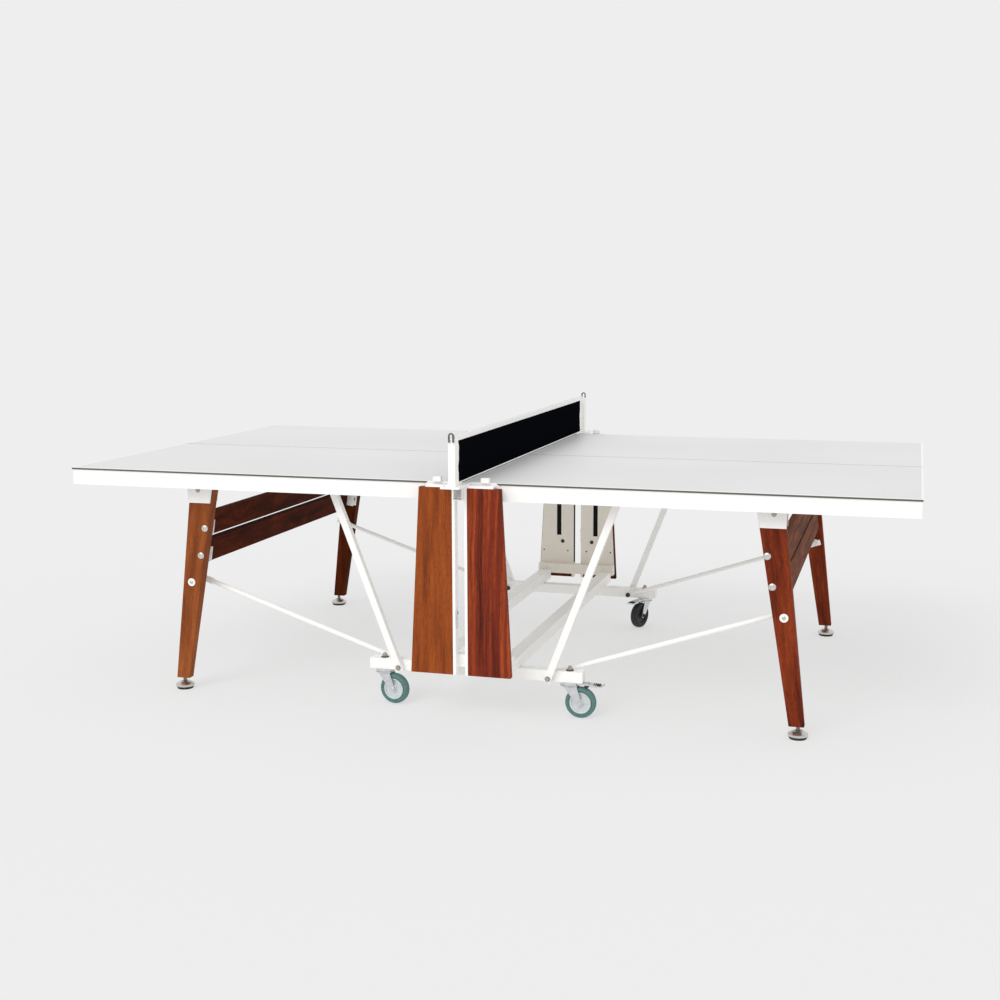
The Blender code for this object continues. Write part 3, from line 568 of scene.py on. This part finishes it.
hingeBolt = turnedShape("hingeBolt", [
    (r * 1.25, 0), (r * 1.25, h * 0.22), (r * 1.02, h * 0.25), (r, h * 0.85), (r * 0.9, h), (r * 0.5, h),
    (r * 0.46, h * 0.5), (r * 0.05, h * 0.48)], 20)
r, h = bolts["hexRadius"], bolts["hexHeight"]
washer = ringShape("washer", [
    (r * 0.55, 0), (r * 1.35, 0), (r * 1.38, 0.0004), (r * 1.35, 0.0012), (r * 0.55, 0.0012)], 24)
hexBolt = turnedShape("hexBolt", [
    (r * 0.96, 0), (r, 0.0006), (r, h * 0.8), (r * 0.88, h), (r * 0.60, h), (r * 0.56, h * 0.86),
    (r * 0.05, h * 0.84)], 6)
lockNut = turnedShape("lockNut", [
    (r * 0.96, 0), (r, 0.0006), (r, h * 0.9), (r * 0.86, h * 1.08), (r * 0.76, h * 1.08), (r * 0.72, h * 1.7),
    (r * 0.50, h * 2.2), (r * 0.30, h * 2.35), (r * 0.05, h * 2.38)], 6)
r, h = bolts["screwRadius"], bolts["screwHeight"]
panScrew = turnedShape("panScrew", [
    (r, 0), (r * 0.98, h * 0.5), (r * 0.75, h * 0.9), (r * 0.40, h), (r * 0.35, h * 0.4),
    (r * 0.05, h * 0.38)], 14)
bpy.ops.object.select_all(action="DESELECT")
smallBolt, smallWasher = hexBolt.copy(), washer.copy()
for small in (smallBolt, smallWasher):
    small.data = small.data.copy()
    smallShare = bolts["smallShare"]
    small.data.transform(Matrix.Diagonal((smallShare, smallShare, bolts["smallHeightShare"], 1)))
    scene.collection.objects.link(small)

# Angle bracket: one flange lies on the leg, the other is pulled out along the plank
thick, reach, half = bolts["angleThick"], bolts["angleReach"], bolts["angleHalf"]
bpy.ops.object.select_all(action="DESELECT")
bpy.ops.mesh.primitive_cube_add(size=1, location=(-(reach + 2 * thick) / 2 - thick / 2, -thick / 2, 0))
bpy.context.object.scale = (reach + thick, thick, 2 * half)
angleBracket = startShape("angleBracket")
bpy.ops.object.mode_set(mode="OBJECT")
for move, test in (
        ((thick, 0, 0), lambda face: face.normal.x > 0.9),
        ((0, thick - reach, 0), lambda face: face.normal.y < -0.9 and face.center.x > -1.6 * thick)):
    for face in angleBracket.data.polygons:
        face.select = test(face)
    bpy.ops.object.mode_set(mode="EDIT")
    bpy.ops.mesh.select_mode(type="FACE")
    bpy.ops.mesh.extrude_region_move(TRANSFORM_OT_translate={"value": move})
    bpy.ops.object.mode_set(mode="OBJECT")
bpy.ops.object.mode_set(mode="EDIT")
bpy.ops.mesh.select_all(action="SELECT")
bpy.ops.mesh.bevel(offset=0.0005, segments=2, affect="EDGES")
endShape(angleBracket)

masters = [angleBracket, smallBolt, smallWasher, domedBolt, rodCap, capBolt, hingeBolt, washer, hexBolt,
           lockNut, panScrew]
outward = {end: (0, sign, 0) for end, sign in ends.items()}
inward = {end: (0, -sign, 0) for end, sign in ends.items()}
seat = 0.0002  # what a head sinks into its seat

for side, end in quarters:
    where = f"{side}_{end}"
    x, y = sides[side], ends[end]
    legFrame = f"leg_frame_{side}"
    legLow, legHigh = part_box(f"leg_{where}")
    legFace = max(abs(legLow.y), abs(legHigh.y)) - seat
    legBack = min(abs(legLow.y), abs(legHigh.y))
    bracketLow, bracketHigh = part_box(f"leg_bracket_{where}")
    hinge = Vector(joints[f"leg_fold_{side}"]["pos_m"])
    rodPivot = Vector(joints[f"rod_pivot_{where}"]["pos_m"])
    strutPivot = Vector(joints[f"strut_pivot_{where}"]["pos_m"])
    for level, (boltX, boltZ) in bolts["plankBolts"].items():
        placeCopy(domedBolt, f"plankBolt_{level}_{where}",
                  facing((x * boltX, y * legFace, boltZ), outward[end]), legFrame, stainless)
        plankLow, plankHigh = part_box(f"plank_{level}_{side}")
        plankX = min(abs(plankLow.x), abs(plankHigh.x)) + bolts["plankSlant"]
        backAtBolt = legBack + bolts["legTaper"] * (hinge.z - boltZ) / (hinge.z - rodPivot.z)
        turn = Matrix.Rotation(-legLean, 4, "Y")
        seatOn = mirror(side, end) @ Matrix.Translation((plankX, backAtBolt + seat, boltZ)) @ turn
        placeCopy(angleBracket, f"plankAngle_{level}_{where}", seatOn, legFrame, powderCoat)
        placeCopy(smallBolt, f"plankNut_{level}_{where}",
                  facing((x * boltX, y * (backAtBolt - bolts["angleThick"]), boltZ), inward[end]),
                  legFrame, blackSteel)
    capSpot = facing((rodPivot.x, y * legFace, rodPivot.z), outward[end])
    placeCopy(rodCap, f"rodCap_{where}", capSpot, legFrame, whiteNylon)
    placeCopy(capBolt, f"rodCapBolt_{where}", capSpot, legFrame, stainless)
    for face, edge, way in (("outer", max(abs(bracketLow.y), abs(bracketHigh.y)) - seat, outward),
                            ("inner", min(abs(bracketLow.y), abs(bracketHigh.y)) + seat, inward)):
        placeCopy(hingeBolt, f"hingeBolt_{face}_{where}", facing((hinge.x, y * edge, hinge.z), way[end]),
                  f"half_{side}", beigeZinc)
    rodLow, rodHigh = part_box(f"brace_rod_{where}")
    rodMiddle = (abs(rodLow.y) + abs(rodHigh.y)) / 2
    sleeveStart, nutStart = rodMiddle + bolts["rodHalf"], rodMiddle - bolts["rodHalf"]
    sleeveLength = legBack + bolts["legTaper"] - sleeveStart
    sleeve = turnedShape("sleeve", [(0.0068, 0), (0.0072, 0.0005), (0.0072, sleeveLength - 0.004),
                                    (0.0092, sleeveLength - 0.003), (0.0092, sleeveLength)], 18)
    placeCopy(sleeve, f"rodSleeve_{where}", facing((rodPivot.x, y * sleeveStart, rodPivot.z), outward[end]),
              legFrame, powderCoat)
    placeCopy(hexBolt, f"rodNut_{where}", facing((rodPivot.x, y * nutStart, rodPivot.z), inward[end]),
              legFrame, zincPlate)
    bpy.data.objects.remove(sleeve)
    strutLow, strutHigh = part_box(f"strut_{where}")
    strutFace = max(abs(strutLow.y), abs(strutHigh.y)) + bolts["strutStandOff"]
    strutBack = min(abs(strutLow.y), abs(strutHigh.y)) - bolts["strutStandOff"]
    for piece, depth, way in (("strutBolt", strutFace, outward), ("strutNut", strutBack, inward)):
        placeCopy(hexBolt, f"{piece}_{where}", facing((strutPivot.x, y * depth, strutPivot.z), way[end]),
                  f"half_{side}", zincPlate)
print("leg and strut fasteners ready")


# carriage: outrigger bolts, castor nuts, end caps, slot caps, screws
carriage = {
    "outriggerBolt": (0.251, 0.130),
    "washerGap": 0.0003, "headGap": 0.0012,  # from the strut's side to the washer and to the head on it
    "nutGap": 0.0036, "stemNutGap": 0.0011,
    "capThickness": 0.004, "capOverlap": 0.0003,
    "slotCapWidth": 0.027, "slotCapHeight": 0.0155, "slotCapDepth": 0.0135,
    "webScrews": ((0.142, 0.267), (0.040, 0.267), (0.147, 0.196), (0.040, 0.196), (0.030, 0.722)),
    "webHole": (0.062, 0.3065),
    "webSetBack": 0.019,  # from the lever's pivot to the inner face of the slotted web
    # sizes of the near-black painted-shade sheet behind each slot
    "slotShadeWidth": 0.036, "slotShadeLow": 0.160, "slotShadeTopGap": 0.002,
    "gapFace": 0.0155, "gapLow": 0.215, "gapHigh": 0.700,
}
for side, end in quarters:
    where = f"{side}_{end}"
    x, y = sides[side], ends[end]
    beamLow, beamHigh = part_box(f"cross_beam_{end}")
    strutLow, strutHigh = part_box(f"strut_{where}")
    strutFace = max(abs(strutLow.y), abs(strutHigh.y))
    rodLow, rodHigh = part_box(f"brace_rod_{where}")
    rodMiddle = (abs(rodLow.y) + abs(rodHigh.y)) / 2
    boltX, boltZ = carriage["outriggerBolt"]
    for shape, piece, depth, way, finish in (
            (smallWasher, "outriggerWasher", strutFace + carriage["washerGap"], outward, beigeZinc),
            (smallBolt, "outriggerBolt", strutFace + carriage["headGap"], outward, beigeZinc),
            (lockNut, "outriggerNut", rodMiddle - carriage["nutGap"], inward, blackSteel)):
        placeCopy(shape, f"{piece}_{where}", facing((x * boltX, y * depth, boltZ), way[end]),
                  "carriage", finish)
    stem = Vector(joints[f"castor_swivel_{where}"]["pos_m"])
    for shape, piece, height, finish in (
            (washer, "stemWasher", beamHigh.z, blackNylon),
            (lockNut, "stemNut", beamHigh.z + carriage["stemNutGap"], beigeZinc)):
        placeCopy(shape, f"{piece}_{where}", facing((stem.x, stem.y, height), (0, 0, 1)),
                  "carriage", finish)

# plastic plugs with a rounded face close the beam ends
beamLow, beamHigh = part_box("cross_beam_far")
over = carriage["capOverlap"]
plug = blockShape("plug", (beamHigh.x - 0.001, beamLow.y - over, beamLow.z - over),
                  (beamHigh.x + carriage["capThickness"], beamHigh.y + over, beamHigh.z + over), 1.8, 3)
slotX = abs(joints["fold_right"]["pos_m"][0])
_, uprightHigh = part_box("upright_far")
panelLow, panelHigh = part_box("wood_panel_right_far")
webInner = abs(joints["lever_swing_far"]["pos_m"][1]) - carriage["webSetBack"]
half = carriage["slotCapWidth"] / 2
slotCap = blockShape("slotCap", (slotX - half, webInner + seat, uprightHigh.z - seat),
                     (slotX + half, webInner + carriage["slotCapDepth"],
                      uprightHigh.z + carriage["slotCapHeight"]), 1.6, 3)
bpy.ops.object.mode_set(mode="EDIT")  # a shallow panel is sunk in the cap's outer face
bpy.ops.mesh.select_all(action="DESELECT")
bpy.ops.object.mode_set(mode="OBJECT")
for face in slotCap.data.polygons:
    face.select = face.normal.y > 0.99
bpy.ops.object.mode_set(mode="EDIT")
bpy.ops.mesh.select_mode(type="FACE")
bpy.ops.mesh.inset(thickness=0.002)
bpy.ops.transform.translate(value=(0, -0.0008, 0))
bpy.ops.object.mode_set(mode="OBJECT")
half = carriage["slotShadeWidth"] / 2
# painted shade: a near-black sheet on the panel's back behind the slot, where it lies in shadow
slotShade = blockShape("slotShade", (slotX - half, panelLow.y - 0.0004, panelLow.z + carriage["slotShadeLow"]),
                   (slotX + half, panelLow.y - 0.0001, panelHigh.z - carriage["slotShadeTopGap"]), 0.1, 1)
gapFace = carriage["gapFace"]
# painted shade: a near-black sheet on the gap's side face, which lies in shadow
gapLiner = blockShape("gapLiner", (gapFace - 0.0002, webInner + 0.004, carriage["gapLow"]),
                      (gapFace + 0.0001, panelHigh.y - 0.0003, carriage["gapHigh"]), 0.05, 1)
masters += [plug, slotCap, slotShade, gapLiner]
for side, end in quarters:
    where = f"{side}_{end}"
    corner = mirror(side, end)
    placeCopy(plug, f"beamPlug_{where}", corner, "carriage", whiteNylon)
    placeCopy(slotCap, f"slotCap_{where}", corner, "carriage", whiteNylon)
    placeCopy(slotShade, f"slotLiner_{where}", corner, "carriage", paintedShadeBlack)
    if end == "far":
        placeCopy(gapLiner, f"gapLiner_{where}", corner, "carriage", paintedShadeBlack)
    for number, (screwX, screwZ) in enumerate(carriage["webScrews"], 1):
        spot = (sides[side] * screwX, ends[end] * (webInner + seat), screwZ)
        placeCopy(panScrew, f"webScrew{number}_{where}", facing(spot, inward[end]),
                  "carriage", blackSteel)
    holeX, holeZ = carriage["webHole"]
    placeCopy(hingeBolt, f"stopBolt_{where}",
              facing((sides[side] * holeX, ends[end] * (webInner + seat), holeZ), inward[end]),
              "carriage", blackSteel)
print("carriage fittings ready")


# net posts: base screws and the screws of the lock levers
post = {"screwX": 0.020, "screwFromEdge": {"outer": 0.0085, "inner": 0.070}}
for end, y in ends.items():
    baseLow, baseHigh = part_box(f"net_base_{end}")
    baseOuter = max(abs(baseLow.y), abs(baseHigh.y))
    for side, x in sides.items():
        for place, fromEdge in post["screwFromEdge"].items():
            placeCopy(panScrew, f"baseScrew_{place}_{side}_{end}",
                      facing((x * post["screwX"], y * (baseOuter - fromEdge), baseHigh.z - seat), (0, 0, 1)),
                      "carriage", stainless)
    leverPivot = Vector(joints[f"lever_swing_{end}"]["pos_m"])
    inwards = (-1, 0, 0) if leverPivot.x > 0 else (1, 0, 0)
    leverLow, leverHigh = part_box(f"lock_lever_{end}")
    faceX = leverLow.x if leverPivot.x > 0 else leverHigh.x
    placeCopy(panScrew, f"leverScrew_{end}", facing((faceX, leverPivot.y, leverPivot.z), inwards),
              "carriage", blackSteel)
print("post fittings ready")


# castors: tyre and hub in place of the plain wheel, ball race, axle nuts and brake
castor = {
    "tyreInner": 0.0345, "tyreHalf": 0.0140, "hubRim": 0.0347, "hubBoss": 0.0125, "raceRadius": 0.0310,
    "axleReach": 0.0183, "axleNutGap": 0.0008, "axleWasherShare": 0.70, "axleNutShare": 0.78,
    "treadFrom": 0.078, "treadTo": 0.1005, "treadHalf": 0.0125, "treadLow": 0.1087, "treadHigh": 0.1103,
    "treadStrips": 8, "ribHeight": 0.0022,
    "shoeFrom": 0.049, "shoeTo": 0.0635, "shoeHalf": 0.0105, "shoeLow": 0.1010, "shoeHigh": 0.1079,
}
for side, end in quarters:
    where = f"{side}_{end}"
    wheelLow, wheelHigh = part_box(f"castor_wheel_{where}")
    centre = (wheelLow + wheelHigh) / 2
    radius = (wheelHigh.z - wheelLow.z) / 2
    axis = Vector(joints[f"wheel_spin_{where}"]["axis"])
    stem = Vector(joints[f"castor_swivel_{where}"]["pos_m"])
    trail = (Vector((centre.x, centre.y, 0)) - Vector((stem.x, stem.y, 0))).normalized()
    inner, half = castor["tyreInner"], castor["tyreHalf"]
    wall = [(inner, half - 0.002), (inner + 0.002, half - 0.0002), (inner + 0.0032, half),
            (inner + 0.0036, half - 0.0014), (inner + 0.0048, half - 0.0014), (inner + 0.0052, half),
            (radius - 0.009, half), (radius - 0.0050, half - 0.0012), (radius - 0.0018, half - 0.0038),
            (radius - 0.0003, half - 0.0075)]  # one side of the tyre with its moulded groove, bead to tread
    tyre = ringShape("tyre", [*[(r, -h) for r, h in wall], (radius, 0), *reversed(wall)], 48)
    rim, boss = castor["hubRim"], castor["hubBoss"]
    disc = [(0.0062, 0.0138), (boss * 0.9, 0.0138), (boss, 0.0130), (boss, 0.0085), (0.0215, 0.0072),
            (0.0290, 0.0078), (0.0300, 0.0112), (rim, 0.0118)]  # one side of the hub, bore to rim
    hub = turnedShape("hub", [*[(r, -h) for r, h in disc], *reversed(disc)], 40)
    rubber, rubberSlot = (greyRubber, "tyre_grey") if end == "near" else (blackRubber, "tyre_black")
    madeTyre = placeCopy(tyre, f"tyre_{where}", facing(centre, axis), f"wheel_{where}", rubber)
    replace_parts(madeTyre, f"castor_wheel_{where}")
    placeCopy(hub, f"hub_{where}", facing(centre, axis), f"wheel_{where}",
              hubZinc if end == "near" else blackNylon)
    _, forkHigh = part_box(f"castor_fork_{where}")
    race = castor["raceRadius"]
    ballRace = ringShape("ballRace", [
        (race * 0.5, -0.0150), (race * 0.86, -0.0150), (race * 0.94, -0.0138), (race, -0.0118), (race, -0.0098),
        (race * 0.96, -0.0088), (race * 0.5, -0.0088)], 36)
    raceSeal = ringShape("raceSeal", [
        (race * 0.5, -0.0089), (race * 0.90, -0.0089), (race * 0.90, -0.0080), (race * 0.5, -0.0080)], 36)
    for ring, finish in ((raceSeal, blackNylon), (ballRace, zincPlate)):
        placeCopy(ring, f"{ring.name}_{where}", facing((stem.x, stem.y, forkHigh.z), (0, 0, 1)),
                  f"castor_{where}", finish)
    for face, way in (("one", 1), ("two", -1)):
        direction = axis * way
        spot = centre + direction * castor["axleReach"]
        placeCopy(washer, f"axleWasher_{face}_{where}",
                  facing(spot, direction) @ Matrix.Scale(castor["axleWasherShare"], 4),
                  f"castor_{where}", zincPlate)
        nutSpot = spot + direction * castor["axleNutGap"]
        placeCopy(hexBolt, f"axleNut_{face}_{where}",
                  facing(nutSpot, direction) @ Matrix.Scale(castor["axleNutShare"], 4),
                  f"castor_{where}", blackSteel if end == "far" else zincPlate)
    if side == "right":
        turn = Matrix.Translation((stem.x, stem.y, 0)) @ Matrix.Rotation(math.atan2(trail.y, trail.x), 4, "Z")
        treadFrom, treadHalf = castor["treadFrom"], castor["treadHalf"]
        pedal = blockShape("pedalTread", (treadFrom, -treadHalf, castor["treadLow"]),
                           (castor["treadTo"], treadHalf, castor["treadHigh"]), 0.5)
        stripLength = (castor["treadTo"] - treadFrom) / castor["treadStrips"]
        bpy.ops.object.mode_set(mode="EDIT")
        for step in range(1, castor["treadStrips"]):  # cuts that leave ribs across the tread
            bpy.ops.mesh.select_all(action="SELECT")
            bpy.ops.mesh.bisect(plane_co=(treadFrom + stripLength * step, 0, 0.11), plane_no=(1, 0, 0))
        bpy.ops.mesh.select_all(action="DESELECT")
        bpy.ops.object.mode_set(mode="OBJECT")
        for face in pedal.data.polygons:
            strip = int((face.center.x - treadFrom) / stripLength)
            face.select = face.normal.z > 0.99 and strip % 2 == 0 and face.area > 0.00002
        bpy.ops.object.mode_set(mode="EDIT")
        bpy.ops.mesh.select_mode(type="FACE")
        bpy.ops.mesh.extrude_region_move(TRANSFORM_OT_translate={"value": (0, 0, castor["ribHeight"])})
        bpy.ops.object.mode_set(mode="OBJECT")
        placeCopy(pedal, f"pedalTread_{where}", turn, f"pedal_{where}", blackNylon)
        shoe = blockShape("brakeShoe", (castor["shoeFrom"], -castor["shoeHalf"], castor["shoeLow"]),
                          (castor["shoeTo"], castor["shoeHalf"], castor["shoeHigh"]), 1.5)
        placeCopy(shoe, f"brakeShoe_{where}", turn, f"castor_{where}", blackNylon)
        bpy.data.objects.remove(pedal)
        bpy.data.objects.remove(shoe)
    for used in (tyre, hub, ballRace, raceSeal):
        bpy.data.objects.remove(used)
for master in masters:
    bpy.data.objects.remove(master)
print("castors ready")


# floor, light and camera
studio = {
    "backdrop": "#EEEEEE", "floorAlbedo": "#959595", "floorGlow": 0.535, "floorSize": 120,
    "sunStrength": 1.05, "sunSoftness": 35, "sunTilt": 50, "sunTurn": -18,
    "lens": 50.47, "sensor": 36, "shift": -0.0298,
    "cameraSpot": (1.3357, -4.8349, 1.3478), "cameraDip": 0.1493, "cameraTurn": 0.2684,
}
bpy.ops.object.select_all(action="DESELECT")
bpy.ops.mesh.primitive_plane_add(size=studio["floorSize"], location=(0, 0, 0))
floor = bpy.context.object
floor.name = "floor"
paleFloor, _, floorShader = startMaterial("paleStudioFloor", studio["floorAlbedo"], 0.9)
floorShader.inputs["Specular IOR Level"].default_value = 0.0
floorShader.inputs["Emission Color"].default_value = (1, 1, 1, 1)
floorShader.inputs["Emission Strength"].default_value = studio["floorGlow"]
floor.data.materials.append(paleFloor)

world = bpy.data.worlds.new("softbox")
world.use_nodes = True
world.node_tree.nodes["Background"].inputs["Color"].default_value = linearColour(studio["backdrop"])
world.node_tree.nodes["Background"].inputs["Strength"].default_value = 1.0
scene.world = world

sun = bpy.data.lights.new("keyLight", "SUN")
sun.energy = studio["sunStrength"]
sun.angle = math.radians(studio["sunSoftness"])
sunObject = bpy.data.objects.new("keyLight", sun)
sunObject.rotation_euler = (math.radians(studio["sunTilt"]), 0, math.radians(studio["sunTurn"]))
scene.collection.objects.link(sunObject)

camera = bpy.data.cameras.new("camera")
camera.lens = studio["lens"]
camera.sensor_width = studio["sensor"]
camera.shift_x = studio["shift"]
cameraObject = bpy.data.objects.new("camera", camera)
cameraObject.location = studio["cameraSpot"]
cameraObject.rotation_euler = (math.pi / 2 - studio["cameraDip"], 0, studio["cameraTurn"])
scene.collection.objects.link(cameraObject)
scene.camera = cameraObject
scene.view_settings.view_transform = "Standard"
print("studio ready")
